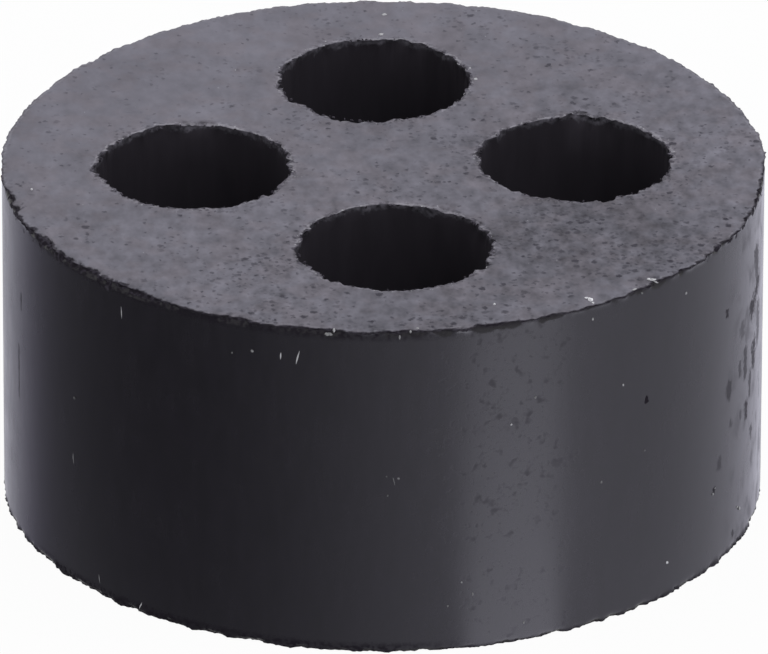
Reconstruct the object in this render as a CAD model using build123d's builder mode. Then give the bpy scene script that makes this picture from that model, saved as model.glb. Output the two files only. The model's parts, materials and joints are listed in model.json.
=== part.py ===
"""Four-way sealing insert for an M25 cable gland.

A plug of black rubber with four through bores, one for each cable. The rubber is moulded as a
long bored rod and sawn to length, so the outer wall and the bores are straight and both ends
are flat cut faces. The plug sits in the clamping cage of the gland, in place of the plain
sealing ring, and closes on the cables as the gland's nut is tightened.

Frame: the origin is the centre of the lower cut face, +Z runs along the plug's axis, and the
first bore lies on +X. All lengths are in millimetres.
"""

import os

from build123d import *

# Driving dimensions
outer_diameter = 20.0  # fills the gland's clamping cage
cut_length = 9.3  # from one cut face to the other
bore_diameter = 5.0  # as wide as the cable that it grips
bore_count = 4
pitch_diameter = 10.0  # circle through the centres of the bores
edge_break = 0.1  # bevel that takes the sharpness off each sawn rim

# Sizes that follow
outer_radius = outer_diameter / 2
bore_radius = bore_diameter / 2
pitch_radius = pitch_diameter / 2


def sawn_rims(part):
    """The circles in which the two cut faces meet the outer wall and the bores."""
    lower_rims, *_, upper_rims = part.edges().filter_by(GeomType.CIRCLE).group_by(Axis.Z)
    return lower_rims + upper_rims


# Sealing insert: the whole plug, one solid
with BuildPart() as sealing_insert:
    with BuildSketch(Plane.XY):
        Circle(outer_radius)
        with PolarLocations(pitch_radius, bore_count):
            Circle(bore_radius, mode=Mode.SUBTRACT)
    extrude(amount=cut_length)
    chamfer(sawn_rims(sealing_insert), edge_break)
sealing_insert.part.label = "sealing_insert"

os.makedirs("parts", exist_ok=True)
export_step(sealing_insert.part, "parts/sealing_insert.step")
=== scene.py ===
"""Dresses a four-way rubber sealing insert for a cable gland.

The insert is a plug sawn from a bored and moulded rubber rod. Its moulded wall is smooth and
black, its two sawn faces are grey and finely torn, and the saw has left ragged rims, shreds,
crumbs and lint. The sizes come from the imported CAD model. Lengths are in metres, except where a
comment or a docstring says millimetres.
"""

import json
import math
from types import SimpleNamespace

import bpy
from mathutils import Matrix, Vector


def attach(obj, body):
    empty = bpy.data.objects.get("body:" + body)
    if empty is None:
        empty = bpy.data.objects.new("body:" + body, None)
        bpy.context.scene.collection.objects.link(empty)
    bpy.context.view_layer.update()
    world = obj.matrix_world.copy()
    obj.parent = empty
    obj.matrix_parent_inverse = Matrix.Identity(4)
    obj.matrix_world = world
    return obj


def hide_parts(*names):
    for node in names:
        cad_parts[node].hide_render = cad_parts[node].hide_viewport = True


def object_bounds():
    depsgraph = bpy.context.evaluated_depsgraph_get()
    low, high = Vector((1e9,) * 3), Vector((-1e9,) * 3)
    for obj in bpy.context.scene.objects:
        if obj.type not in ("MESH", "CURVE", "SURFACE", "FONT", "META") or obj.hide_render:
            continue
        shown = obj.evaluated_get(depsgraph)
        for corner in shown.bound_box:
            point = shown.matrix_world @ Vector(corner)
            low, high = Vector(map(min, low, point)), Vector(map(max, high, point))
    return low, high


bl_info = {
    "name": "Cable Gland Sealing Insert",
    "version": (1, 0, 0),
    "blender": (4, 5, 0),
    "location": "View3D > Sidebar > Sealing Insert",
    "description": "Builds a sawn rubber sealing insert with its torn rims, shreds, crumbs and lint",
    "category": "Add Mesh",
}

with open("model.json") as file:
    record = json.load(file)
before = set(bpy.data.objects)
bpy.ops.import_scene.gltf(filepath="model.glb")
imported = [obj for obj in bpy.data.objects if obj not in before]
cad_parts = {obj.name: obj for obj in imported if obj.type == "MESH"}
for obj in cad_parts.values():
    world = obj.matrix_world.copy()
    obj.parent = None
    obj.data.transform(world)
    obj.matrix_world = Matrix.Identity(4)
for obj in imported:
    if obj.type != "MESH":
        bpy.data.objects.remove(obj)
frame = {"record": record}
cad_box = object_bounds()

MM = 0.001
NODE = "sealing_insert"
BODY = "root"

mounts = {mount["name"]: mount for mount in frame["record"]["mounts"]}
bores = [mount for mount in mounts.values() if mount["kind"] == "bore"]


# ---- node trees


def both_ways(operation):
    """An operator's two methods: with the field to its left, and to its right."""
    return (
        lambda field, other: field.tree.math(operation, field, other),
        lambda field, other: field.tree.math(operation, other, field),
    )


class Field:
    """A socket of a node tree. Python's operators on it add Math or Vector Math nodes."""

    __add__, __radd__ = both_ways("ADD")
    __sub__, __rsub__ = both_ways("SUBTRACT")
    __mul__, __rmul__ = both_ways("MULTIPLY")
    __truediv__, __rtruediv__ = both_ways("DIVIDE")
    __pow__ = both_ways("POWER")[0]

    def __init__(self, tree, socket):
        self.tree = tree
        self.socket = socket

    def __abs__(self):
        return self.tree.math("ABSOLUTE", self)

    def is_vector(self):
        return self.socket.type in {"VECTOR", "RGBA"}

    def limit(self):
        """The field kept between 0 and 1."""
        return self.tree.add("ShaderNodeClamp", sockets={"Value": self})

    def rise(self, low, high):
        """A smooth step that is 0 where the field is at low, and 1 where it is at high."""
        sockets = {"Value": self, "From Min": low, "From Max": high}
        return self.tree.add("ShaderNodeMapRange", {"interpolation_type": "SMOOTHSTEP"}, sockets)

    def rise_mm(self, low, high):
        """A rise between two lengths in millimetres."""
        return self.rise(low * MM, high * MM)

    def output(self, name):
        """Another output of the node that this socket belongs to."""
        return Field(self.tree, self.socket.node.outputs[name])


class Nodes:
    """A node tree being written. add() makes any node, and the other methods shorten common ones."""

    def __init__(self, tree):
        self.tree = tree
        tree.nodes.clear()

    def add(self, kind, settings=None, sockets=None, output=0):
        """Adds a node, sets its settings, then its sockets' values or links, and gives an output."""
        node = self.tree.nodes.new(kind)
        for name, value in (settings or {}).items():
            setattr(node, name, value)
        for name, value in (sockets or {}).items():
            self.feed(node.inputs[name], value)
        return Field(self, node.outputs[output]) if node.outputs else None

    def feed(self, socket, value):
        """Links a field to a socket, or writes a plain value there."""
        if isinstance(value, Field):
            self.tree.links.new(value.socket, socket)
        elif socket.type == "RGBA":
            socket.default_value = (*value[:3], 1.0)
        else:
            socket.default_value = value

    def math(self, operation, *terms):
        """A Math node, or a Vector Math node if one of the terms is a vector."""
        vector = any(isinstance(t, tuple) or (isinstance(t, Field) and t.is_vector()) for t in terms)
        if vector:
            terms = [(t, t, t) if isinstance(t, (int, float)) else t for t in terms]
        kind = "ShaderNodeVectorMath" if vector else "ShaderNodeMath"
        return self.add(kind, {"operation": operation}, dict(enumerate(terms)))

    def larger(self, a, b):
        return self.math("MAXIMUM", a, b)

    def smaller(self, a, b):
        return self.math("MINIMUM", a, b)

    def length(self, x, y):
        return self.math("SQRT", x * x + y * y)

    def blend(self, factor, a, b):
        """a where factor is 0, and b where it is 1, for numbers."""
        return self.add("ShaderNodeMix", {"data_type": "FLOAT"}, {0: factor, 2: a, 3: b})

    def tint(self, factor, a, b, blend_type="MIX"):
        """a where factor is 0, and b where it is 1, for colours."""
        settings = {"data_type": "RGBA", "blend_type": blend_type, "clamp_factor": True}
        return self.add("ShaderNodeMix", settings, {0: factor, 6: a, 7: b}, output=2)

    def shaded(self, colour, shade):
        """The colour made darker or lighter by a number about 1."""
        return self.tint(1.0, colour, self.join(shade, shade, shade), "MULTIPLY")

    def split(self, vector):
        parts = self.add("ShaderNodeSeparateXYZ", sockets={0: vector})
        return parts, parts.output("Y"), parts.output("Z")

    def join(self, x, y, z):
        return self.add("ShaderNodeCombineXYZ", sockets={0: x, 1: y, 2: z})

    def attribute(self, name, output="Fac"):
        return self.add("ShaderNodeAttribute", {"attribute_name": name}, output=output)

    def mix_out(self, factor, a, b, end="ShaderNodeOutputMaterial"):
        """Ends the tree with shader a where factor is 0, and b where it is 1."""
        mixed = self.add("ShaderNodeMixShader", sockets={0: factor, 1: a, 2: b})
        self.add(end, sockets={"Surface": mixed})

    def noise(self, point, size, seed=0, detail=2.0, roughness=0.5, output=0):
        """Noise about 0.5 whose lumps are about size across, in millimetres."""
        shift = (seed * 7.3, seed * 3.1, seed * 5.7)
        shifted = self.math("MULTIPLY_ADD", point, 1.0 / (size * MM), shift)
        sockets = {"Vector": shifted, "Scale": 1.0, "Detail": detail, "Roughness": roughness}
        return self.add("ShaderNodeTexNoise", sockets=sockets, output=output)

    def dots(self, point, cell, density):
        """Soft dots, at most one to a cell of cell millimetres: crowded where density is 1."""
        sockets = {"Vector": point * (1.0 / (cell * MM)), "Scale": 1.0}
        away = self.add("ShaderNodeTexVoronoi", {"voronoi_dimensions": "2D"}, sockets, "Distance")
        chance, size, strength = self.split(away.output("Color"))
        kept = (chance + density).rise(0.96, 1.04)
        return kept * (0.25 + strength * strength * 0.75) * (away - size * 0.18).rise(0.28, 0.02)

    def flecks(self, point, size, seed, density, softness=0.08):
        """Ragged blots about size millimetres across, 1 inside: crowded where density is 1."""
        level = 0.69 - density * 0.13
        return (self.noise(point, size, seed) - level).rise(0.0, softness)


# ---- settings


def number_property(name, description, default, **options):
    return bpy.props.FloatProperty(name=name, description=description, default=default, **options)


def length_property(name, description, default, low=0.0):
    return number_property(name, description, default, min=low, unit="LENGTH", precision=5)


def angle_property(name, description, degrees):
    return number_property(name, description, math.radians(degrees), subtype="ANGLE")


def colour_property(name, description, default):
    return bpy.props.FloatVectorProperty(
        name=name, description=description, default=default, subtype="COLOR", min=0.0, max=1.0
    )


class InsertSizes(bpy.types.PropertyGroup):
    """The insert's own sizes, and how badly the saw has torn it."""

    outer_radius: length_property(
        "Outer radius", "Radius of the moulded wall", mounts["gland_cage"]["dims"]["r_mm"] * MM
    )
    length: length_property("Length", "From one sawn face to the other", cad_box[1].z - cad_box[0].z)
    bore_radius: length_property(
        "Bore radius", "Radius of each cable bore", bores[0]["dims"]["r_mm"] * MM
    )
    pitch_radius: length_property(
        "Pitch radius", "From the axis to the middle of each bore", bores[0]["pos_m"][0]
    )
    bores: bpy.props.IntProperty(
        name="Bores", description="Number of cable bores", default=len(bores), min=2
    )
    off_centre: length_property("Off centre", "How far the mould's bores sit towards +X", 0.046 * MM)
    stretch: length_property("Stretch", "How far bores on the Y axis sit outwards", 0.053 * MM)
    mouth_wear: length_property("Mouth wear", "Mean tearing of the bores' mouths", 0.030 * MM)
    rim_wear: length_property("Rim wear", "Mean tearing of the outer rims", 0.020 * MM)
    raggedness: length_property("Raggedness", "How far the mouths' outlines stray", 0.36 * MM)
    chip_depth: length_property("Chip depth", "Depth of the larger chips", 0.10 * MM)
    seed: bpy.props.IntProperty(name="Seed", description="Changes the tearing", default=4)


class RubberLook(bpy.types.PropertyGroup):
    """Colours of the rubber and of what clings to it."""

    face: colour_property("Sawn face", "Cool grey of the sawn faces", (0.184, 0.1785, 0.2075))
    face_warm: colour_property("Sawn face, warm", "Warmer patches of them", (0.186, 0.1745, 0.199))
    # Painted shade: the dark colour given to the pits stands for the shade in them.
    pit: colour_property("Pit", "Dark bottoms of the pits", (0.050, 0.047, 0.060))
    wall: colour_property("Moulded wall", "Black of the moulded wall", (0.0076, 0.0062, 0.0098))
    bore: colour_property("Bore", "Black of the bores", (0.033, 0.0295, 0.036))
    lip: colour_property("Torn lip", "Rubber just inside the mouths", (0.078, 0.074, 0.087))
    torn: colour_property("Torn rubber", "Torn edges and shreds", (0.058, 0.052, 0.067))
    rim: colour_property("Torn rim", "Dark broken edge of the outer rims", (0.014, 0.0115, 0.0165))
    crumb: colour_property("Crumb", "Crumbs, lint and dust at their palest", (0.95, 0.95, 0.97))


class StageSettings(bpy.types.PropertyGroup):
    """Camera and studio."""

    azimuth: angle_property("Azimuth", "0 looks along +Y", -3.0)
    elevation: angle_property("Elevation", "Above the floor", 26.27)
    roll: angle_property("Roll", "Turn about the view", 0.175)
    distance: length_property("Distance", "Camera to the insert's middle", 0.4445)
    field_width: length_property("Field width", "Width seen at the insert's middle", 20.228 * MM)
    aim_right: length_property("Aim right", "Aim, to the right of the middle", 0.033 * MM, -1.0)
    aim_up: length_property("Aim up", "Aim, above the middle", -0.145 * MM, -1.0)
    glow: number_property("Glow", "Brightness of the light card at its middle", 1.63, min=0.0)
    strip: number_property("Strip", "Extra brightness of the strip along it", 1.50, min=0.0)


# ---- materials


def new_material(name):
    material = bpy.data.materials.new(name)
    material.use_nodes = True
    return material, Nodes(material.node_tree)


def coat(nodes, colour, roughness, ior=1.5, normal=None):
    """A plain surface. Rubber that hardly mirrors has a low ior."""
    sockets = {"Base Color": colour, "Roughness": roughness, "IOR": ior}
    if normal:
        sockets["Normal"] = normal
    return nodes.add("ShaderNodeBsdfPrincipled", sockets=sockets)


def finish_material(nodes, shader):
    nodes.add("ShaderNodeOutputMaterial", sockets={"Surface": shader})


def object_point(nodes):
    return nodes.add("ShaderNodeTexCoord", output="Object")


def margins(nodes):
    """How far the rubber lay from a bore, from the wall and from a face, before the saw tore it."""
    return nodes.split(nodes.attribute("margin", "Vector"))


def bump(nodes, height, depth):
    """Normal of a surface whose height, from 0 to 1, stands for depth metres."""
    return nodes.add("ShaderNodeBump", sockets={"Height": height, "Distance": depth})


def patch(x, y, middle_x, middle_y, radius):
    """A soft round patch about a middle, in millimetres: 1 there, and 0 from radius on."""
    away = x.tree.length(x - middle_x * MM, y - middle_y * MM)
    return away.rise(radius * MM, radius * MM * 0.3)


def left_end(x, y, start=-5.5, full=-8.0):
    """The left end of the insert's front, where the saw tore most: 1 from full on."""
    return x.rise_mm(start, full) * y.rise_mm(-0.6, -2.0)


# Painted highlight: the pale colour that stands for light caught along the torn edges of the mouths
# and the outer rim.
PAINTED_EDGE_HIGHLIGHT = (0.33, 0.32, 0.35)  # the thin bright line along a torn edge


def sawn_face_material(look):
    """Sawn rubber: fine grain, patches, torn pits, broken rims and a few bright specks, with painted
    shade in patches, in the pits and around the mouths, and painted highlights along the torn edges.
    """
    material, nodes = new_material("sawn_face_rubber")
    point = object_point(nodes)
    x, y, z = nodes.split(point)
    from_bore, from_outside, _ = margins(nodes)
    far_side = nodes.attribute("far_side")

    drawn_out = point * (1.0, 0.65, 1.0)
    grain = nodes.noise(drawn_out, 0.13, seed=1, detail=1.0)
    cloth = nodes.noise(drawn_out, 0.34, seed=2)
    mottle = nodes.noise(drawn_out, 1.0, seed=3)
    warmth = nodes.noise(point, 0.80, seed=4)

    # The saw tore the rubber more towards the front and +X, in patches, and around the mouths. The
    # same patch and the front also carry painted shade, and two more soft patches are painted shade
    # only.
    pitted_and_shaded_patch = patch(x, y, 5.4, -4.8, 4.4)
    painted_shade_patches = patch(x, y, 2.5, 3.0, 7.5) * 0.08 + patch(x, y, 1.0, -8.5, 4.0) * 0.09
    torn_and_shaded_front = (x * 0.5 - y * 0.85).rise_mm(-8.0, 6.0)
    by_mouth = from_bore.rise_mm(0.9, 0.0)
    crowding = nodes.noise(point, 2.2, seed=6, detail=1.0)
    density = (crowding * 2.4 - 1.25 + pitted_and_shaded_patch * 0.50 + by_mouth * 0.20 + torn_and_shaded_front * 0.20).limit()
    bent = nodes.noise(point, 0.11, seed=7, output=1) * (0.17 * MM)
    flat = nodes.join(x + z * 0.37, y - z * 0.21, 0.0) * (0.95, 0.90, 1.0) + bent
    fine_pits = nodes.dots(flat, 0.16, density * 0.9 + 0.12)
    coarse_pits = nodes.dots(flat + (3.1 * MM, 1.7 * MM, 0.0), 0.26, density * 0.95)
    pits = nodes.larger(fine_pits * 0.75, coarse_pits)
    at_mouth = from_bore.rise_mm(0.35, 0.05)
    specks = nodes.flecks(point, 0.12, 9, at_mouth * 0.9 - 0.60)

    ragged = nodes.noise(point, 0.30, seed=10, detail=3.0, roughness=0.6)
    front = y.rise_mm(1.5, -1.5)
    left = left_end(x, y)
    rim_width = (ragged - 0.40) * (0.16 + left * 0.26) * MM + left * (0.01 * MM)
    rim_band = (from_outside - rim_width).rise_mm(0.06, -0.02) * (0.15 + front * 0.85)
    # Painted highlight: a broken pale line just inside the outer rim, left out at the left end of
    # the front.
    painted_rim_highlight = abs(from_outside - 0.07 * MM).rise_mm(0.06, 0.01)
    painted_rim_highlight = painted_rim_highlight * ragged.rise(0.50 - (1.0 - front) * 0.12, 0.62) * (1.0 - left)
    # A dark ring of torn rubber around each mouth, partly painted shade at the mouth's edge, weaker
    # on its near and far sides.
    torn_crust_and_shade = (from_bore - (ragged - 0.43) * (0.60 * MM)).rise_mm(0.04, -0.03)
    torn_crust_and_shade = torn_crust_and_shade * (0.6 + far_side.rise(-0.8, 0.0) * 0.4 - far_side.rise(0.3, 0.9) * 0.55)
    # Painted highlight: a broken pale line just outside each mouth, brighter on its far side.
    lip = abs(from_bore - 0.06 * MM).rise_mm(0.06, 0.01)
    lip = lip * (0.4 + far_side.rise(-0.3, 0.4) * 0.6) * cloth.rise(0.38, 0.52)

    lumps = nodes.noise(point, 0.13, seed=5) - 0.5
    crumbly = nodes.smaller(from_bore, from_outside + 0.08 * MM)
    crumbly = crumbly.rise_mm(0.30, 0.02)

    warm = (warmth.rise(0.42, 0.62) * 0.9 + by_mouth * 0.3).limit()
    colour = nodes.tint(warm, look.face, look.face_warm)
    uneven = (grain - 0.5) * 0.30 + (cloth - 0.5) * 0.90
    shade = 1.0 + uneven * (0.40 + torn_and_shaded_front * 0.75) + (mottle - 0.5) * 0.50 + lumps * crumbly * 2.0
    # Painted shade: the face is made darker in patches and towards the front and +X.
    colour = nodes.shaded(colour, shade + 0.05 - pitted_and_shaded_patch * 0.24 - torn_and_shaded_front * 0.08 - painted_shade_patches)
    # Painted highlights along the edges of the mouths and the outer rim.
    colour = nodes.tint(lip * 0.65 + painted_rim_highlight * 0.35, colour, PAINTED_EDGE_HIGHLIGHT)
    # Painted shade in the pits, darker towards the front.
    colour = nodes.tint(pits * (0.75 + torn_and_shaded_front * 0.25), colour, look.pit)
    crumbled = nodes.shaded(look.torn, 1.1 + lumps * 3.0)
    # Torn rubber with painted shade: the dark ring around the mouths.
    colour = nodes.tint(torn_crust_and_shade * 0.80, colour, crumbled)
    broken = nodes.tint(lumps.rise(-0.02, 0.12) * 0.8, look.rim, look.torn)
    colour = nodes.tint(rim_band * 0.90, colour, broken)
    colour = nodes.tint(specks * (0.7 - at_mouth * 0.35), colour, look.crumb)

    relief = cloth * 0.60 + mottle * 0.30 - pits * 0.6 - torn_crust_and_shade * 0.5 - rim_band * 0.3
    relief = relief + lumps * crumbly
    normal = bump(nodes, relief, 0.035 * MM)
    finish_material(nodes, coat(nodes, colour, 0.92 - specks * 0.4, 1.3, normal))
    return material


# Scars in the moulded wall, each a stroke: the angle in degrees and height in millimetres of its
# two ends, its width in millimetres, and its strength.
WALL_SCARS = (
    (-49.8, 6.06, -49.8, 5.98, 0.12, 1.2),
    (-15.8, 7.73, -14.4, 6.76, 0.46, 0.70),
    (-14.4, 6.76, -17.7, 6.36, 0.56, 0.85),
    (-29.3, 7.13, -29.3, 7.04, 0.20, 0.8),
    (-23.0, 6.18, -23.0, 6.02, 0.40, 0.45),
    (-21.5, 5.42, -21.5, 4.74, 0.28, 0.65),
    (-24.0, 5.20, -24.0, 4.90, 0.16, 0.55),
    (-16.8, 5.20, -16.8, 4.70, 0.40, 0.8),
    (-18.9, 4.51, -18.9, 3.92, 0.26, 0.65),
    (-28.6, 4.95, -28.6, 4.66, 0.28, 0.6),
    (-13.7, 6.10, -13.7, 5.15, 0.40, 0.6),
    (-21.0, 3.81, -21.0, 3.46, 0.26, 0.8),
    (-23.6, 3.75, -23.6, 3.62, 0.20, 0.5),
    (-27.4, 3.80, -27.4, 3.70, 0.20, 0.5),
    (-17.9, 2.80, -17.9, 2.70, 0.28, 0.6),
    (-31.5, 2.94, -31.5, 2.80, 0.26, 0.45),
    (-32.9, 2.25, -32.9, 2.17, 0.14, 0.9),
    (-26.1, 0.45, -26.1, 0.37, 0.20, 0.6),
    (-165.0, 5.45, -165.0, 3.95, 0.09, 0.6),
    (-163.7, 7.05, -163.7, 6.60, 0.09, 0.6),
)


def wall_scars(nodes, angle, z, radius, waver):
    """The listed scars: their strength inside them, with wavering edges."""
    scarred = 0.0
    for turn, height, end_turn, end_height, width, strength in WALL_SCARS:
        across, up = math.radians(end_turn - turn) * radius, (end_height - height) * MM
        right = (angle - math.radians(turn)) * radius
        above = z - height * MM
        part = ((right * across + above * up) / (across * across + up * up)).limit()
        away = nodes.length(right - part * across, above - part * up) / (width * MM / 2)
        inside = (away + waver).rise(1.5, 0.5) * strength
        scarred = nodes.larger(scarred, inside)
    return scarred


def moulded_wall_material(look, sizes):
    """Moulded rubber: black and satin and clouded, with scuffs at the front and scars at the side.
    """
    material, nodes = new_material("moulded_wall_rubber")
    point = object_point(nodes)
    x, y, z = nodes.split(point)
    _, _, from_face = margins(nodes)
    angle = nodes.math("ARCTAN2", y, x)

    fine = nodes.noise(point, 0.12, seed=15)
    streaks = nodes.noise(point * (1.0, 1.0, 0.25), 0.30, seed=11, detail=3.0, roughness=0.6)
    clouds = nodes.noise(point, 1.3, seed=12, detail=3.0, roughness=0.55)

    front = nodes.length(x - 2.9 * MM, y + 9.6 * MM).rise_mm(4.2, 1.4)
    clusters = nodes.noise(point, 1.0, seed=17, detail=1.0)
    crowding = front * (0.50 + clusters * 2.4) - 0.80
    coarse_scuffs = nodes.flecks(point, 0.24, 13, crowding, 0.20)
    scuffs = nodes.larger(coarse_scuffs, nodes.flecks(point, 0.13, 18, crowding, 0.20) * 0.5)
    sideways = x.rise_mm(8.3, 9.6)
    blotches = nodes.noise(point * (1.0, 1.0, 0.7), 0.60, seed=14, detail=3.0)
    blotches = blotches.rise(0.48, 0.70) * sideways
    scars = wall_scars(nodes, angle, z, sizes.outer_radius, (fine + streaks - 1.0) * 2.5)
    hollow = nodes.larger(scars * 0.95, blotches * 0.35)

    # The saw tore the wall under the upper rim too, most towards the left end and +X, and left it
    # dull there towards the left.
    upper = z.rise_mm(4.0, 6.0)
    left = left_end(x, y) * upper
    right = x.rise_mm(6.5, 9.0) * upper
    ragged = nodes.noise(point, 0.30, seed=16, detail=3.0)
    depth = (ragged - 0.46) * 0.24 + (ragged - 0.34) * 0.85 * left + (ragged - 0.46) * right
    torn = (from_face - depth * MM).rise_mm(0.05, -0.01)
    hollow = nodes.larger(hollow, from_face.rise_mm(0.14, 0.02) * 0.55)
    hollow = nodes.larger(hollow, torn * 0.85)
    dull = x.rise_mm(2.5, -1.0) * x.rise_mm(-9.5, -8.7)
    dull = dull * (0.30 + fine.rise(0.42, 0.58) * 0.55)
    hollow = nodes.larger(hollow, from_face.rise_mm(0.36, 0.16) * dull)

    colour = nodes.shaded(look.wall, 0.4 + streaks * 0.8 + fine * 0.4)
    broken = nodes.tint(fine.rise(0.46, 0.62) * 0.8, look.rim, look.torn)
    colour = nodes.tint(torn * 0.9, colour, broken)
    roughness = 0.25 + (clouds - 0.5) * 0.14 + (streaks - 0.5) * 0.10
    roughness = nodes.blend(scuffs * 0.60, roughness, 0.75).limit()
    roughness = nodes.blend(torn, roughness, 0.75)
    relief = streaks * 0.4 + clouds * 0.9 - scuffs * 0.5 - scars * 0.9
    normal = bump(nodes, relief, 0.005 * MM)
    skin = coat(nodes, colour, roughness, 1.4, normal)
    inner = coat(nodes, nodes.tint(torn * 0.9, look.rim, broken), 0.9, 1.15)
    nodes.mix_out(hollow, skin, inner)
    return material


def bore_material(look):
    """The bores: matt black, with a paler torn lip just inside each mouth."""
    material, nodes = new_material("bore_rubber")
    point = object_point(nodes)
    _, _, from_face = margins(nodes)

    streaks = nodes.noise(point * (1.0, 1.0, 0.25), 0.40, seed=21, detail=3.0)
    lumps = nodes.noise(point, 0.16, seed=23)
    ragged = nodes.noise(point, 0.50, seed=22, detail=4.0, roughness=0.7)
    lip = (from_face - (ragged - 0.32) * (0.65 * MM)).rise_mm(0.08, -0.06)

    colour = nodes.shaded(look.bore, 0.8 + streaks * 0.4)
    colour = nodes.tint(lip, colour, look.lip)
    colour = nodes.shaded(colour, 1.0 + (lumps - 0.5) * 3.0 * lip)
    normal = bump(nodes, streaks * 0.5 + lumps * lip, 0.015 * MM)
    finish_material(nodes, coat(nodes, colour, 0.75 + lip * 0.2, 1.1, normal))
    return material


def torn_rubber_material(look):
    """Shreds: torn dark rubber with a dusty bloom."""
    material, nodes = new_material("torn_rubber")
    bloom = nodes.noise(object_point(nodes), 0.10, seed=31)
    colour = nodes.tint(bloom.rise(0.35, 0.65), look.bore, look.torn)
    colour = nodes.tint(bloom.rise(0.62, 0.75) * 0.6, colour, look.face)
    finish_material(nodes, coat(nodes, colour, 0.85, 1.3))
    return material


def crumb_material(look):
    """Crumbs, lint and dust: chalky, each as pale as its own paleness says."""
    material, nodes = new_material("pale_crumb")
    uneven = nodes.noise(object_point(nodes), 0.05, seed=41)
    colour = nodes.shaded(look.crumb, nodes.attribute("paleness") * (0.75 + uneven * 0.5))
    finish_material(nodes, coat(nodes, colour, 0.6))
    return material


# ---- geometry trees


LINE_STEPS = 90  # mesh steps along each straight edge of a bore's share of the face
ARC_STEPS = 280  # mesh steps along its share of the outer rim

# Rows of quads across the upper face, down a bore, across the lower face, and down the wall.
FACE_ROWS, BORE_ROWS, FOOT_ROWS, WALL_ROWS = 18, 12, 8, 20

WELD_DISTANCE = 0.0005 * MM

# The zones of the plug's surface, as numbers, where 0 is a face, and the inputs for the zones'
# materials in that order.
ZONE_BORE, ZONE_WALL = 1, 2
ZONE_MATERIALS = ("face_material", "bore_material", "wall_material")

# Settings that the trees take as inputs, by their names in InsertSizes.
SHAPE = ("outer_radius", "length", "bore_radius", "pitch_radius", "bores", "off_centre", "stretch")
TEARING = ("mouth_wear", "rim_wear", "raggedness", "chip_depth", "seed")
COUNTS = ("bores", "seed", "per_mouth")


def titled(name):
    """A setting's or socket's name as the nodes show it."""
    return name.replace("_", " ").title()


class GeometryNodes(Nodes):
    """A geometry tree with named inputs and one geometry output."""

    def __init__(self, name):
        super().__init__(bpy.data.node_groups.new(name, "GeometryNodeTree"))
        self.new_socket = self.tree.interface.new_socket
        self.new_socket("Geometry", in_out="INPUT", socket_type="NodeSocketGeometry")
        self.new_socket("Geometry", in_out="OUTPUT", socket_type="NodeSocketGeometry")
        self.group = self.tree.nodes.new("NodeGroupInput")
        self.identifiers = {}

    def inputs(self, *names):
        """Adds a named input to the tree for each name, and gives their fields."""
        fields = {}
        for name in names:
            kind = "Material" if "material" in name else "Int" if name in COUNTS else "Float"
            made = self.new_socket(titled(name), in_out="INPUT", socket_type="NodeSocket" + kind)
            self.identifiers[name] = made.identifier
            fields[name] = Field(self, self.group.outputs[titled(name)])
        return SimpleNamespace(**fields)

    def given(self):
        """The geometry that the tree is run on."""
        return Field(self, self.group.outputs["Geometry"])

    def make(self, kind, settings=None, output=0, **sockets):
        """Adds a geometry node by the end of its type's name, and feeds its sockets by name."""
        sockets = {titled(name): value for name, value in sockets.items()}
        return self.add("GeometryNode" + kind, settings, sockets, output)

    def store(self, geometry, name, value, data_type="FLOAT", domain="POINT"):
        settings = {"data_type": data_type, "domain": domain}
        return self.make("StoreNamedAttribute", settings, geometry=geometry, name=name, value=value)

    def stored(self, name, data_type="FLOAT"):
        return self.make("InputNamedAttribute", {"data_type": data_type}, "Attribute", name=name)

    def position(self):
        return self.make("InputPosition")

    def move(self, geometry, **sockets):
        return self.make("SetPosition", geometry=geometry, **sockets)

    def around(self, radius, angle):
        """The X and Y of the point at an angle on a circle about the origin."""
        return radius * self.math("COSINE", angle), radius * self.math("SINE", angle)

    def join_geometry(self, *geometries):
        joined = self.make("JoinGeometry")
        for geometry in geometries:
            self.tree.links.new(geometry.socket, joined.socket.node.inputs[0])
        return joined

    def scatter(self, points, instance, **sockets):
        """A real copy of the instance on each point."""
        copies = self.make("InstanceOnPoints", points=points, instance=instance, **sockets)
        return self.make("RealizeInstances", geometry=copies)

    def random(self, low, high, seed):
        """A random vector for each point."""
        settings, sockets = {"data_type": "FLOAT_VECTOR"}, {"Min": low, "Max": high, "Seed": seed}
        return self.add("FunctionNodeRandomValue", settings, sockets)

    def close(self, geometry, material):
        """Makes the geometry real, gives it its material and hands it out."""
        real = self.make("RealizeInstances", geometry=geometry)
        finished = self.make("SetMaterial", geometry=real, material=material)
        self.add("NodeGroupOutput", sockets={"Geometry": finished})


def zones(tree, point, sizes):
    """Where a point lies on the insert: how far from each wall and face, and which way is out."""
    x, y, z = tree.split(point)
    step = 2 * math.pi / sizes.bores
    turn = tree.math("ROUND", tree.math("ARCTAN2", y, x) / step) * step
    middle_x, middle_y = tree.around(sizes.pitch_radius, turn)
    away_x, away_y = x - middle_x, y - middle_y
    from_axis = tree.length(x, y)
    from_bore_axis = tree.length(away_x, away_y)
    return SimpleNamespace(
        x=x,
        y=y,
        z=z,
        turn=turn,
        outward=tree.join(x / from_axis, y / from_axis, 0.0),
        bore_outward=tree.join(away_x / from_bore_axis, away_y / from_bore_axis, 0.0),
        from_outside=sizes.outer_radius - from_axis,
        from_bore=from_bore_axis - sizes.bore_radius,
        from_top=sizes.length - z,
        from_face=tree.smaller(sizes.length - z, z),
    )


def wander(tree, place, sizes):
    """How far the bore nearest to a point sits from its nominal place; fades out around it."""
    near_bore = place.from_bore.rise_mm(1.0, 0.0)
    outward = near_bore * sizes.stretch * tree.math("SINE", place.turn)
    return tree.join(near_bore * sizes.off_centre, outward, 0.0)


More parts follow.
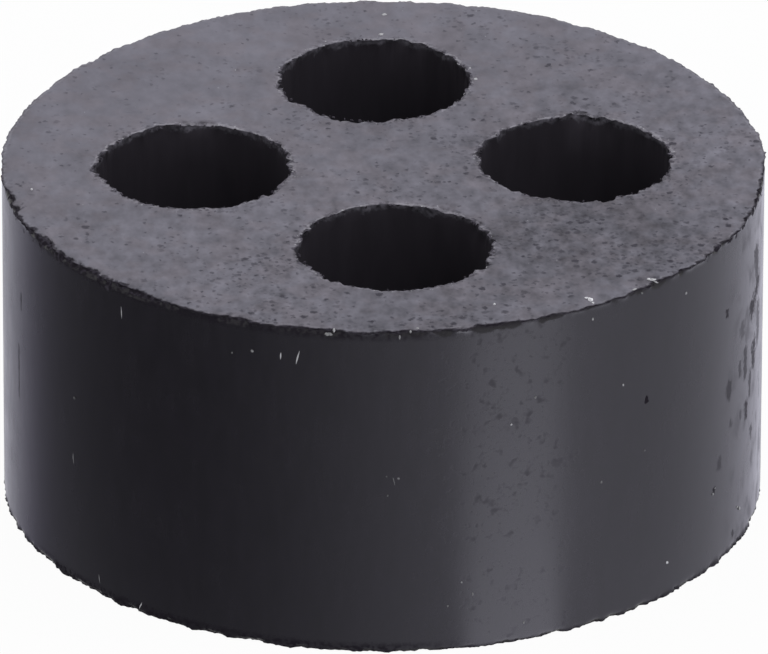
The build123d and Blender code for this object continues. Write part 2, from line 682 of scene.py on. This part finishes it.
def crowded(tree, x, power, even=0.0):
    """0 to 1, with steps that shrink towards both ends as the power asks; even keeps some apart."""
    centred = x * 2.0 - 1.0
    size = 1.0 - abs(centred)
    return 0.5 + 0.5 * tree.math("SIGN", centred) * (1.0 - size**power * (1.0 - even) - size * even)


def sheet_of_quads(tree, columns, rows):
    """A grid of quads, with each vertex's column and row and each face's row."""
    grid = tree.make("MeshGrid", vertices_x=columns + 1, vertices_y=rows + 1)
    index = tree.make("InputIndex")
    column = tree.math("FLOOR", (index + 0.5) / (rows + 1))
    row = index - column * (rows + 1)
    face_row = index - tree.math("FLOOR", (index + 0.5) / rows) * rows
    return grid, column, row, face_row


def bore_lining(tree, sizes):
    """One bore with its share of the two faces: down from the face, through and out again."""
    columns = 2 * LINE_STEPS + ARC_STEPS
    rows = FACE_ROWS + BORE_ROWS + FOOT_ROWS
    grid, column, row, face_row = sheet_of_quads(tree, columns, rows)

    # The share's edge runs from the axis to the rim, along the rim, and back to the axis.
    outbound = (column / LINE_STEPS).limit()
    along_rim = ((column - LINE_STEPS) / ARC_STEPS).limit()
    inbound = ((column - LINE_STEPS - ARC_STEPS) / LINE_STEPS).limit()
    reach = 1.0 - (1.0 - tree.smaller(outbound, 1.0 - inbound)) ** 1.5
    angle = (along_rim - 0.5) * (2 * math.pi) / sizes.bores
    edge_x, edge_y = tree.around(sizes.outer_radius * reach, angle)

    # Each spoke runs from that edge towards the bore's axis, and stops at the bore's wall.
    toward_x = edge_x - sizes.pitch_radius
    shrink = sizes.bore_radius / tree.length(toward_x, edge_y)
    mouth_x = sizes.pitch_radius + toward_x * shrink
    mouth_y = edge_y * shrink

    in_face = crowded(tree, (row / FACE_ROWS).limit(), 2.4)
    in_bore = crowded(tree, ((row - FACE_ROWS) / BORE_ROWS).limit(), 3.4)
    in_foot = crowded(tree, ((row - FACE_ROWS - BORE_ROWS) / FOOT_ROWS).limit(), 2.4)
    spread = 1.0 - in_face + in_foot
    position = tree.join(
        mouth_x + (edge_x - mouth_x) * spread,
        mouth_y + (edge_y - mouth_y) * spread,
        sizes.length * (1.0 - in_bore),
    )
    past_face = tree.math("GREATER_THAN", face_row, FACE_ROWS - 0.5)
    before_foot = tree.math("LESS_THAN", face_row, FACE_ROWS + BORE_ROWS - 0.5)
    zone = past_face * before_foot * ZONE_BORE
    return tree.store(tree.move(grid, position=position), "zone", zone, "INT", "FACE")


def wall_share(tree, sizes):
    """One bore's share of the moulded wall."""
    grid, column, row, _ = sheet_of_quads(tree, ARC_STEPS, WALL_ROWS)
    angle = (column / ARC_STEPS - 0.5) * (2 * math.pi) / sizes.bores
    height = sizes.length * crowded(tree, row / WALL_ROWS, 6.0, 0.075)
    position = tree.join(*tree.around(sizes.outer_radius, angle), height)
    return tree.store(tree.move(grid, position=position), "zone", ZONE_WALL, "INT", "FACE")


def turned_copies(tree, geometry, count):
    """count copies of the geometry, turned about the Z axis."""
    turn = tree.join(0.0, 0.0, tree.make("InputIndex") * (2 * math.pi) / count)
    return tree.scatter(tree.make("Points", count=count), geometry, rotation=turn)


# How the upper rim departs from a circle: middle and half width in degrees, and rise in millimetres.
RIM_SWELLS = (
    (-142, 20, -0.045),
    (-118, 15, 0.045),
    (-90, 15, 0.025),
    (-28, 16, 0.020),
    (30, 22, -0.030),
    (75, 14, 0.015),
    (135, 30, -0.045),
)


# How the mouths in the upper face depart from circles: middle, radius and outward push of each
# patch in millimetres. The one with the smallest radius is a chip.
MOUTH_SWELLS = (
    (2.5, -4.3, 1.6, 0.070),
    (-0.8, -7.4, 2.0, 0.045),
    (5.0, 2.5, 2.4, 0.070),
    (5.2, 2.6, 0.42, 0.220),
    (0.0, 7.5, 2.2, 0.055),
    (-2.4, 5.0, 0.9, -0.050),
    (-0.6, 2.5, 1.8, 0.075),
    (-2.5, 0.2, 1.0, -0.065),
    (-5.0, 2.5, 1.8, 0.065),
    (-5.0, -2.5, 1.8, 0.070),
)


def tearing(tree, place, point, wear):
    """How far the saw's tearing moves each point of the plug."""
    shifted = point + tree.join(wear.seed * (3.1 * MM), wear.seed * (1.7 * MM), 0.0)
    stray = tree.noise(shifted, 1.4, seed=1, detail=4.0, roughness=0.66) - 0.5
    nicks = tree.noise(shifted, 0.42, seed=5, detail=3.0, roughness=0.6) - 0.5
    fine = (tree.noise(shifted, 0.13, seed=2, detail=1.0) - 0.5) * 2.0
    chips = tree.noise(shifted, 0.80, seed=3, detail=3.0).rise(0.56, 0.70)
    wavy = (tree.noise(shifted, 3.5, seed=4, detail=1.0) - 0.5) * 2.0
    upper = tree.math("LESS_THAN", place.from_top, place.z)
    left = left_end(place.x, place.y, -5.0, -8.5) * upper
    front = place.y.rise_mm(4.0, -5.0) * (0.2 + upper * 0.8)

    by_mouth = tree.length(place.from_bore, place.from_face)
    by_rim = tree.length(place.from_outside, place.from_face)
    mouth = by_mouth.rise_mm(0.24, 0.0)
    around_mouth = by_mouth.rise_mm(0.60, 0.0)
    rim = by_rim.rise_mm(0.18, 0.0)
    around_rim = tree.length(place.from_outside, place.from_face * 4.0).rise_mm(0.60, 0.0)
    turn = tree.math("ARCTAN2", place.y, place.x)
    swell = 0.0
    for middle, width, height in RIM_SWELLS:
        away = tree.math("WRAP", turn - math.radians(middle), math.pi, -math.pi)
        near = abs(away).rise(math.radians(width), 0.0)
        swell = swell + near * (height * MM)

    rim_wear = wear.rim_wear * (1.0 + left * 2.0)
    _, far_side, _ = tree.split(place.bore_outward)
    foremost = place.y.rise_mm(-1.5, -4.0)
    rough = 1.0 + foremost * (0.6 - far_side.rise(-0.2, -0.8) * 1.15)
    rough = rough * (1.0 - far_side.rise(0.4, 0.9) * 0.4)
    into_mouth = mouth * (wear.mouth_wear * (0.8 + fine * rough * 1.3) + wear.chip_depth * chips)
    strayed = around_mouth * stray * 1.15 + mouth * nicks * rough * 1.6
    into_mouth = into_mouth + wear.raggedness * strayed
    pushed = 0.0
    for x, y, radius, outward in MOUTH_SWELLS:
        pushed = pushed + patch(place.x, place.y, x, y, radius) * (outward * MM)
    into_mouth = into_mouth + around_mouth * upper * pushed
    lower = 1.0 - upper
    into_rim = rim_wear * (0.8 + fine * (0.6 + front * 1.2))
    into_rim = into_rim + wear.raggedness * (0.35 + front * 0.85 + lower * 0.20) * nicks
    into_rim = rim * into_rim + around_rim * wear.raggedness * (0.85 + front * 0.85) * stray
    into_rim = into_rim - around_rim * upper * swell
    sunk = mouth * (wear.mouth_wear * (0.5 + fine) + wear.chip_depth * chips)
    sunk = sunk + rim * (rim_wear * (1.0 + fine * 1.2) + wear.raggedness * 0.22 * nicks)

    # Each face sinks towards the plug's middle, and the lower one never drops below the floor.
    near_face = place.from_face.rise_mm(0.5, 0.0)
    level = (wavy * (0.004 * MM) - sunk) * (upper * 2.0 - 1.0) * near_face
    level = tree.larger(level, 0.0 - place.z)
    return place.bore_outward * into_mouth - place.outward * into_rim + tree.join(0.0, 0.0, level)


def plug_tree():
    """The whole plug: one bore's share of it, turned into place, welded and torn by the saw."""
    tree = GeometryNodes("sawn_plug")
    sizes = tree.inputs(*SHAPE)
    wear = tree.inputs(*TEARING)

    share = tree.join_geometry(bore_lining(tree, sizes), wall_share(tree, sizes))
    whole = turned_copies(tree, share, sizes.bores)
    welded = tree.make("MergeByDistance", geometry=whole, distance=WELD_DISTANCE)
    point = tree.position()
    place = zones(tree, point, sizes)
    margin = tree.join(place.from_bore, place.from_outside, place.from_face)
    whole = tree.store(welded, "margin", margin, "FLOAT_VECTOR")
    _, far_side, _ = tree.split(place.bore_outward)
    whole = tree.store(whole, "far_side", far_side)
    torn = tree.move(whole, offset=tearing(tree, place, point, wear) + wander(tree, place, sizes))
    plug = tree.make("RealizeInstances", geometry=tree.make("SetShadeSmooth", geometry=torn))

    zone = tree.stored("zone", "INT")
    equal = {"data_type": "INT", "operation": "EQUAL"}
    materials = tree.inputs(*ZONE_MATERIALS)
    for number, name in enumerate(ZONE_MATERIALS):
        picked = tree.add("FunctionNodeCompare", equal, {"A": zone, "B": number})
        material = getattr(materials, name)
        plug = tree.make("SetMaterial", geometry=plug, selection=picked, material=material)
    tree.add("NodeGroupOutput", sockets={"Geometry": plug})
    return tree


SHRED_DEPTH = 0.03 * MM  # how far inside a face the shreds hang
SMALLEST_SHRED, LARGEST_SHRED = (0.35, 0.3, 0.12), (1.0, 0.8, 0.4)  # in flake sizes
NO_TURN, ANY_TURN = (0.0, 0.0, 0.0), (6.28, 6.28, 6.28)


def shred_tree():
    """Shreds: flat torn flakes, scattered along the mouths of the bores at both faces."""
    tree = GeometryNodes("shreds")
    sizes = tree.inputs(*SHAPE, "per_mouth", "kept", "flake_size", "seed", "material")

    mouth = tree.make("MeshCircle", vertices=sizes.per_mouth, radius=sizes.bore_radius)
    mouth = tree.move(mouth, offset=tree.join(sizes.pitch_radius, 0.0, 0.0))
    mouths = turned_copies(tree, mouth, sizes.bores)
    upper = tree.move(mouths, offset=tree.join(0.0, 0.0, sizes.length - SHRED_DEPTH))
    edges = tree.join_geometry(tree.move(mouths, offset=(0.0, 0.0, SHRED_DEPTH)), upper)
    place = zones(tree, tree.position(), sizes)
    edges = tree.move(edges, offset=wander(tree, place, sizes) + place.bore_outward * (0.02 * MM))
    points = tree.make("MeshToPoints", mesh=edges)
    chance = tree.add("FunctionNodeRandomValue", {"data_type": "FLOAT"}, {"Seed": sizes.seed}, 1)
    dropped = tree.math("GREATER_THAN", chance, sizes.kept)
    points = tree.make("DeleteGeometry", {"domain": "POINT"}, geometry=points, selection=dropped)

    grain = tree.make("MeshIcoSphere", radius=1.0, subdivisions=2)
    flake = tree.join(sizes.flake_size, sizes.flake_size, sizes.flake_size)
    size = tree.random(SMALLEST_SHRED, LARGEST_SHRED, 11) * flake
    turn = tree.random(NO_TURN, ANY_TURN, 12)
    loose = tree.scatter(points, grain, rotation=turn, scale=size)
    jag = (tree.noise(tree.position(), 0.06, seed=61, output=1) - 0.5) * (0.06 * MM)
    jagged = tree.move(loose, offset=jag)
    x, y, z = tree.split(tree.position())
    z = tree.smaller(tree.larger(z, 0.0), sizes.length + 0.01 * MM)
    tree.close(tree.move(jagged, position=tree.join(x, y, z)), sizes.material)
    return tree


def lint_tree():
    """Lint: a thin bent fibre on each point, as long and as leaning as the point says."""
    tree = GeometryNodes("lint")
    wanted = tree.inputs("thickness", "material")
    fibre = tree.make("CurvePrimitiveLine", start=(0, 0, -0.5), end=(0, 0, 0.5))
    fibre = tree.make("ResampleCurve", curve=fibre, count=9)
    facing = tree.stored("facing", "FLOAT_VECTOR")
    stretch = tree.join(1.0, 1.0, tree.stored("fibre_length"))
    placed = tree.scatter(tree.given(), fibre, rotation=facing, scale=stretch)
    bend = (tree.noise(tree.position(), 0.25, seed=51, output=1) - 0.5) * (0.05 * MM)
    bent = tree.move(placed, offset=bend)
    taper = tree.math("SINE", tree.make("SplineParameter", output="Factor") * math.pi) * 0.5 + 0.12
    radius = wanted.thickness * tree.stored("thickness") * taper
    ring = tree.make("CurvePrimitiveCircle", resolution=6, radius=1.0)
    tube = tree.make("CurveToMesh", curve=bent, profile_curve=ring, scale=radius, fill_caps=True)
    tree.close(tube, wanted.material)
    return tree


def crumb_tree():
    """Crumbs: a jagged grain on each point, as large and as turned as the point says."""
    tree = GeometryNodes("crumbs")
    wanted = tree.inputs("material")
    grain = tree.make("MeshIcoSphere", radius=1.0, subdivisions=3)
    facing, size = (tree.stored(name, "FLOAT_VECTOR") for name in ("facing", "grain_size"))
    placed = tree.scatter(tree.given(), grain, rotation=facing, scale=size)
    jag = (tree.noise(tree.position(), 0.05, seed=61, detail=1.0, output=1) - 0.5) * 1.2
    tree.close(tree.move(placed, offset=jag * size), wanted.material)
    return tree


# ---- making pieces


def add_object(name, data):
    """A new object in the scene."""
    made = bpy.data.objects.new(name, data)
    bpy.context.scene.collection.objects.link(made)
    return made


def grown(name, tree, points=None, **values):
    """Runs a geometry tree on a mesh of points, and gives the result as a plain mesh object."""
    carrier = add_object(name + "_carrier", points or bpy.data.meshes.new(name + "_start"))
    modifier = carrier.modifiers.new("grow", "NODES")
    modifier.node_group = tree.tree
    for key, value in values.items():
        modifier[tree.identifiers[key]] = value
    ready = carrier.evaluated_get(bpy.context.evaluated_depsgraph_get())
    mesh = bpy.data.meshes.new_from_object(ready)
    bpy.data.objects.remove(carrier)
    mesh.name = name
    return add_object(name, mesh)


def chosen(sizes, *names):
    """The named settings, for a tree's inputs."""
    return {name: getattr(sizes, name) for name in names}


def point_cloud(name, points, **attributes):
    """A mesh of loose points that carries one value or vector for each point under each name."""
    mesh = bpy.data.meshes.new(name)
    mesh.from_pydata(points, [], [])
    for key, values in attributes.items():
        vector = not isinstance(values[0], float)
        layer = mesh.attributes.new(key, "FLOAT_VECTOR" if vector else "FLOAT", "POINT")
        flat = [part for value in values for part in value] if vector else values
        layer.data.foreach_set("vector" if vector else "value", flat)
    return mesh


def on_circle(degrees, radius, height):
    """The point at an angle from +X, a distance from the axis and a height."""
    angle = math.radians(degrees)
    return (radius * math.cos(angle), radius * math.sin(angle), height)


class INSERT_OT_plug(bpy.types.Operator):
    """Build the sawn plug, and show it in place of the CAD node"""

    bl_idname = "insert.plug"
    bl_label = "Sawn plug"

    def execute(self, context):
        sizes, look = context.scene.insert_sizes, context.scene.insert_look
        plug = grown(
            "sawn_plug",
            plug_tree(),
            **chosen(sizes, *SHAPE, *TEARING),
            face_material=sawn_face_material(look),
            bore_material=bore_material(look),
            wall_material=moulded_wall_material(look, sizes),
        )
        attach(plug, BODY)
        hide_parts(NODE)
        return {"FINISHED"}


SHREDS_PER_MOUTH = 150  # places for shreds around each mouth
SHREDS_KEPT = 0.30  # share of them that hold one
FLAKE_SIZE = 0.065 * MM


class INSERT_OT_shreds(bpy.types.Operator):
    """Build the shreds that hang in the bores' mouths"""

    bl_idname = "insert.shreds"
    bl_label = "Shreds"

    def execute(self, context):
        sizes, look = context.scene.insert_sizes, context.scene.insert_look
        shreds = grown(
            "shreds",
            shred_tree(),
            **chosen(sizes, *SHAPE, "seed"),
            per_mouth=SHREDS_PER_MOUTH,
            kept=SHREDS_KEPT,
            flake_size=FLAKE_SIZE,
            material=torn_rubber_material(look),
        )
        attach(shreds, BODY)
        return {"FINISHED"}


LINT_RADIUS = 0.026 * MM

# Lint on the wall: angle in degrees, height and fibre length in millimetres, lean in degrees, and
# how thick and how pale it is.
LINT = (
    (-135.5, 8.52, 0.34, 4.0, 1.1, 0.50),
    (-108.2, 8.42, 0.20, -6.0, 1.2, 0.55),
    (-105.6, 8.42, 0.38, -12.0, 1.4, 0.50),
    (-146.6, 3.56, 0.30, 3.0, 0.7, 0.30),
    (-140.5, 0.48, 0.26, 14.0, 0.7, 0.30),
    (-131.9, 0.22, 0.24, -24.0, 1.0, 0.70),
    (-91.3, 5.00, 0.28, 12.0, 0.9, 0.13),
)


class INSERT_OT_lint(bpy.types.Operator):
    """Build the pale fibres that cling to the moulded wall"""

    bl_idname = "insert.lint"
    bl_label = "Lint"

    def execute(self, context):
        sizes, look = context.scene.insert_sizes, context.scene.insert_look
        points = [on_circle(row[0], sizes.outer_radius, row[1] * MM) for row in LINT]
        cloud = point_cloud(
            "lint_points",
            points,
            fibre_length=[row[2] * MM for row in LINT],
            facing=[(math.radians(row[3]), 0.0, math.radians(row[0])) for row in LINT],
            thickness=[row[4] for row in LINT],
            paleness=[row[5] for row in LINT],
        )
        material = crumb_material(look)
        lint = grown("lint", lint_tree(), cloud, thickness=LINT_RADIUS, material=material)
        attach(lint, BODY)
        return {"FINISHED"}


# Crumbs on the upper rim and face, and one on the wall: angle in degrees, distance from the axis,
# height and half sizes in millimetres, turn in degrees, and paleness.
CRUMBS = (
    (-59.8, 9.78, 9.33, (0.075, 0.050, 0.05), -35.0, 1.0),
    (-59.9, 9.62, 9.32, (0.050, 0.035, 0.03), 20.0, 0.85),
    (-59.9, 9.92, 9.30, (0.050, 0.020, 0.03), -60.0, 0.75),
    (-48.1, 9.86, 9.32, (0.110, 0.030, 0.03), 0.0, 0.72),
    (-48.4, 9.78, 9.33, (0.040, 0.035, 0.03), 0.0, 0.80),
    (-48.0, 9.98, 9.29, (0.070, 0.018, 0.02), -40.0, 0.50),
    (-52.1, 9.93, 9.30, (0.060, 0.030, 0.02), 30.0, 0.45),
    (-87.8, 9.86, 9.30, (0.040, 0.030, 0.02), 0.0, 0.40),
    (-172.6, 9.34, 9.30, (0.030, 0.050, 0.03), 0.0, 0.70),
    (-74.1, 8.88, 9.30, (0.030, 0.050, 0.03), 0.0, 0.70),
    (86.9, 9.10, 9.30, (0.060, 0.050, 0.03), 0.0, 0.50),
    (87.5, 7.85, 9.30, (0.070, 0.050, 0.03), 0.0, 0.55),
    (61.4, 5.66, 9.30, (0.050, 0.050, 0.03), 0.0, 0.55),
    (-23.5, 10.0, 0.95, (0.030, 0.060, 0.060), -3.5, 0.45),
    (-100.2, 9.98, 9.28, (0.030, 0.040, 0.050), 0.0, 0.45),
    (-88.9, 9.98, 9.27, (0.030, 0.050, 0.030), 0.0, 0.30),
)

WALL_DISTANCE = 10.0  # from the axis, in millimetres

# Dust on the wall: angle in degrees, height and half sizes in millimetres, and paleness.
WALL_DUST = (
    (-112.6, 8.44, (0.030, 0.042, 0.042), 0.20),
    (-115.8, 8.29, (0.024, 0.024, 0.030), 0.12),
    (-60.2, 8.89, (0.024, 0.024, 0.050), 0.35),
    (-41.2, 8.55, (0.024, 0.034, 0.045), 0.25),
    (-51.0, 9.16, (0.024, 0.034, 0.030), 0.15),
    (-54.5, 6.70, (0.024, 0.026, 0.032), 0.42),
    (-45.0, 0.97, (0.030, 0.036, 0.036), 0.85),
    (-73.6, 6.35, (0.024, 0.028, 0.028), 0.42),
    (-58.4, 4.09, (0.024, 0.026, 0.040), 0.14),
    (-81.1, 1.95, (0.020, 0.024, 0.028), 0.28),
    (-69.8, 7.01, (0.024, 0.034, 0.034), 0.16),
    (-79.4, 1.58, (0.020, 0.024, 0.045), 0.18),
    (-83.2, 1.30, (0.020, 0.026, 0.026), 0.14),
    (-71.4, 0.54, (0.024, 0.024, 0.045), 0.18),
    (-146.2, 5.36, (0.024, 0.040, 0.036), 0.10),
    (-50.1, 4.56, (0.020, 0.028, 0.028), 0.09),
    (-33.2, 2.13, (0.024, 0.040, 0.036), 0.30),
    (-24.4, 1.05, (0.024, 0.040, 0.030), 0.40),
    (-90.6, 5.06, (0.016, 0.030, 0.034), 0.16),
    (-92.4, 5.12, (0.014, 0.022, 0.022), 0.07),
    (-92.2, 4.57, (0.014, 0.022, 0.030), 0.07),
    (-32.6, 2.26, (0.016, 0.024, 0.020), 0.30),
    (-101.0, 9.16, (0.030, 0.110, 0.050), 0.24),
    (-90.5, 9.13, (0.024, 0.026, 0.060), 0.22),
)


class INSERT_OT_crumbs(bpy.types.Operator):
    """Build the pale crumbs at the rim and the specks of dust on the wall"""

    bl_idname = "insert.crumbs"
    bl_label = "Crumbs"

    def execute(self, context):
        look = context.scene.insert_look
        dust = [(row[0], WALL_DISTANCE, row[1], row[2], row[0], row[3]) for row in WALL_DUST]
        rows = [*CRUMBS, *dust]
        cloud = point_cloud(
            "crumb_points",
            [on_circle(row[0], row[1] * MM, row[2] * MM) for row in rows],
            grain_size=[tuple(side * MM for side in row[3]) for row in rows],
            facing=[(0.0, 0.0, math.radians(row[4])) for row in rows],
            paleness=[row[5] for row in rows],
        )
        crumbs = grown("crumbs", crumb_tree(), cloud, material=crumb_material(look))
        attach(crumbs, BODY)
        return {"FINISHED"}


# ---- stage


WHITE = (1.0, 1.0, 1.0)
ROOM_COLOUR, ROOM_STRENGTH = (0.97, 0.97, 1.0), 0.55
FLOOR_COLOUR = (0.86, 0.86, 0.86)
FLOOR_RADIUS, FLOOR_SIDES = 0.6, 96
FLOOR_WHITENESS = 0.96  # how far the floor is plain white to the eye; the rest takes shadows


def seen_by_eye(nodes):
    """1 for camera, glossy and transmission rays, which should meet a white background."""
    camera = nodes.add("ShaderNodeLightPath", output="Is Camera Ray")
    seen = nodes.larger(camera, camera.output("Is Glossy Ray"))
    return nodes.larger(seen, camera.output("Is Transmission Ray"))


def glowing(nodes, kind, colour, strength=1.0):
    """A Background or Emission shader."""
    return nodes.add(kind, sockets={"Color": colour, "Strength": strength})


def build_world():
    """A dim even room, white to the eye."""
    world = bpy.data.worlds.new("studio")
    world.use_nodes = True
    nodes = Nodes(world.node_tree)
    light = glowing(nodes, "ShaderNodeBackground", ROOM_COLOUR, ROOM_STRENGTH)
    white = glowing(nodes, "ShaderNodeBackground", WHITE)
    nodes.mix_out(seen_by_eye(nodes), light, white, "ShaderNodeOutputWorld")
    bpy.context.scene.world = world


def build_floor():
    """A pale round floor."""
    mesh = bpy.data.meshes.new("floor")
    ring = [on_circle(side * 360 / FLOOR_SIDES, FLOOR_RADIUS, 0.0) for side in range(FLOOR_SIDES)]
    mesh.from_pydata(ring, [], [tuple(range(FLOOR_SIDES))])
    material, nodes = new_material("pale_floor")
    matt = nodes.add("ShaderNodeBsdfDiffuse", sockets={"Color": FLOOR_COLOUR})
    white = glowing(nodes, "ShaderNodeEmission", WHITE)
    nodes.mix_out(seen_by_eye(nodes) * FLOOR_WHITENESS, matt, white)
    mesh.materials.append(material)
    floor = add_object("floor", mesh)


CARD_COLUMNS, CARD_ROWS = 170, 14
CARD_REACH = 40.0 * MM  # how far the card lies out from the wall
CARD_GAP = 0.02 * MM  # between the card and the wall, and above the floor
CARD_EDGE = 86.0  # degrees that the card turns to each side
BROAD_TURN = 25.0  # where the broad light is brightest, in degrees to the right
SIDE_TURN = 60.0  # where the room grows brighter again, to both sides
STRIP_TURN, STRIP_HALF_WIDTH = 20.0, 7.4
STRIP_REACH = 18.0 * MM  # how far out the strip fades
LOW_REACH = 6.0 * MM  # how far out the floor's own light reaches
ROOM_GLOW = 0.15  # brightness of the dim room in the rest of the gloss


def below(value, limit, softness):
    """1 below a limit and 0 above it, with a soft edge."""
    return 1.0 / (1.0 + math.exp((value - limit) / softness))


def bell(value, middle, width):
    """1 at the middle, and less to both sides of it."""
    return math.exp(-(((value - middle) / width) ** 2))


def card_brightness(stage, turn, far):
    """What the wall mirrors at turn degrees to the right of its front, far away along the floor."""
    low = math.exp(-far / LOW_REACH) * below(abs(turn), SIDE_TURN, 3.0)
    dim = ROOM_GLOW * (1.0 + low + (abs(turn) / SIDE_TURN) ** 3)
    sides = 0.36 * below(turn, -67.5, 3.0)
    if turn < BROAD_TURN:
        broad = bell(turn, BROAD_TURN, 32.0)
    else:
        broad = 0.35 + 0.65 / (1.0 + ((turn - BROAD_TURN) / 17.0) ** 2)
    strip = below(abs(turn - STRIP_TURN), STRIP_HALF_WIDTH, 0.7)
    strip = strip * (1.2 - 0.4 * min(1.0, far / STRIP_REACH))
    return dim + sides + stage.glow * broad + stage.strip * strip


def direction(azimuth, elevation=0.0):
    """From the insert towards a viewer at an azimuth and an elevation."""
    level = math.cos(elevation)
    return Vector((math.sin(azimuth) * level, -math.cos(azimuth) * level, math.sin(elevation)))


def hide_from(thing, *rays):
    """Makes an object unseen by some kinds of rays."""
    for ray in rays:
        setattr(thing, "visible_" + ray, False)


def build_light_card(stage, sizes):
    """A glowing card that lies around the front of the insert, and shows only in its gloss."""
    vertices, glow = [], []
    for column in range(CARD_COLUMNS + 1):
        turn = CARD_EDGE * (2.0 * column / CARD_COLUMNS - 1.0)
        foot = direction(stage.azimuth + math.radians(turn)) * (sizes.outer_radius + CARD_GAP)
        away = direction(stage.azimuth + math.radians(2 * turn))
        blue = bell(turn, -66.0, 9.0) + 0.25 * bell(turn, 75.0, 12.0)
        colour = (0.89 - 0.07 * blue, 0.885 - 0.09 * blue, 1.0)
        for row in range(CARD_ROWS + 1):
            far = CARD_REACH * (row / CARD_ROWS) ** 2
            vertices.append(foot + away * far + Vector((0.0, 0.0, CARD_GAP)))
            brightness = card_brightness(stage, turn, far)
            glow += [channel * brightness for channel in colour]
    across = CARD_ROWS + 1
    corners = [column * across + row for column in range(CARD_COLUMNS) for row in range(CARD_ROWS)]
    faces = [(corner, corner + 1, corner + across + 1, corner + across) for corner in corners]
    mesh = bpy.data.meshes.new("light_card")
    mesh.from_pydata(vertices, [], faces)
    mesh.attributes.new("glow", "FLOAT_VECTOR", "POINT").data.foreach_set("vector", glow)
    material, nodes = new_material("glowing_card")
    shine = glowing(nodes, "ShaderNodeEmission", nodes.attribute("glow", "Vector"))
    finish_material(nodes, shine)
    mesh.materials.append(material)
    card = add_object("light_card", mesh)
    hide_from(card, "camera", "diffuse", "transmission", "shadow")


# The lamps: azimuth from the camera's own and elevation in degrees, distance from the insert's
# middle and side of the square in metres, and brightness.
LAMPS = {"key": (52, 57, 0.25, 0.18, 1.85), "back": (180, 60, 0.05, 0.03, 1.3)}
LAMP_COLOUR = (0.95, 0.96, 1.0)
SENSOR_WIDTH = 36.0


def build_lamps(stage, middle):
    """Square lamps that face the insert's middle, and are neither seen nor mirrored."""
    for name, (azimuth, elevation, distance, side, brightness) in LAMPS.items():
        away = direction(stage.azimuth + math.radians(azimuth), math.radians(elevation))
        data = bpy.data.lights.new(name, "AREA")
        data.size = side
        data.energy = brightness * math.pi * side * side
        data.color = LAMP_COLOUR
        lamp = add_object(name, data)
        lamp.location = middle + away * distance
        lamp.rotation_mode = "QUATERNION"
        lamp.rotation_quaternion = (-away).to_track_quat("-Z", "Y")
        hide_from(lamp, "camera", "glossy")


def build_camera(stage, middle):
    back = direction(stage.azimuth, stage.elevation)
    right = Vector((math.cos(stage.azimuth), math.sin(stage.azimuth), 0.0))
    up = back.cross(right)
    data = bpy.data.cameras.new("camera")
    data.sensor_width = SENSOR_WIDTH
    data.lens = SENSOR_WIDTH * stage.distance / stage.field_width
    data.clip_start, data.clip_end = 0.1 * stage.distance, 10.0 * stage.distance
    camera = add_object("camera", data)
    aim = middle + right * stage.aim_right + up * stage.aim_up
    facing = Matrix((right, up, back)).transposed() @ Matrix.Rotation(stage.roll, 3, "Z")
    camera.matrix_world = Matrix.Translation(aim + back * stage.distance) @ facing.to_4x4()
    bpy.context.scene.camera = camera


class INSERT_OT_stage(bpy.types.Operator):
    """Build the floor, the studio light and the camera"""

    bl_idname = "insert.stage"
    bl_label = "Stage"

    def execute(self, context):
        stage, sizes = context.scene.insert_stage, context.scene.insert_sizes
        middle = Vector((0.0, 0.0, sizes.length / 2))
        build_world()
        build_floor()
        build_light_card(stage, sizes)
        build_camera(stage, middle)
        build_lamps(stage, middle)
        context.scene.view_settings.view_transform = "Standard"
        return {"FINISHED"}


class INSERT_PT_panel(bpy.types.Panel):
    """Lists the insert's pieces and settings"""

    bl_label = "Sealing Insert"
    bl_space_type = "VIEW_3D"
    bl_region_type = "UI"
    bl_category = "Sealing Insert"

    def draw(self, context):
        for operator in OPERATORS:
            self.layout.operator(operator.bl_idname)
        for name, group in GROUPS.items():
            box = self.layout.box()
            for setting in group.__annotations__:
                box.prop(getattr(context.scene, name), setting)


OPERATORS = (INSERT_OT_plug, INSERT_OT_shreds, INSERT_OT_lint, INSERT_OT_crumbs, INSERT_OT_stage)
GROUPS = {"insert_sizes": InsertSizes, "insert_look": RubberLook, "insert_stage": StageSettings}
CLASSES = (*GROUPS.values(), *OPERATORS, INSERT_PT_panel)


def register():
    for cls in CLASSES:
        bpy.utils.register_class(cls)
    for name, group in GROUPS.items():
        setattr(bpy.types.Scene, name, bpy.props.PointerProperty(type=group))


def unregister():
    for name in GROUPS:
        delattr(bpy.types.Scene, name)
    for cls in reversed(CLASSES):
        bpy.utils.unregister_class(cls)


def main():
    register()
    bpy.ops.insert.plug()
    bpy.ops.insert.shreds()
    bpy.ops.insert.lint()
    bpy.ops.insert.crumbs()
    bpy.ops.insert.stage()


if __name__ == "__main__":
    main()
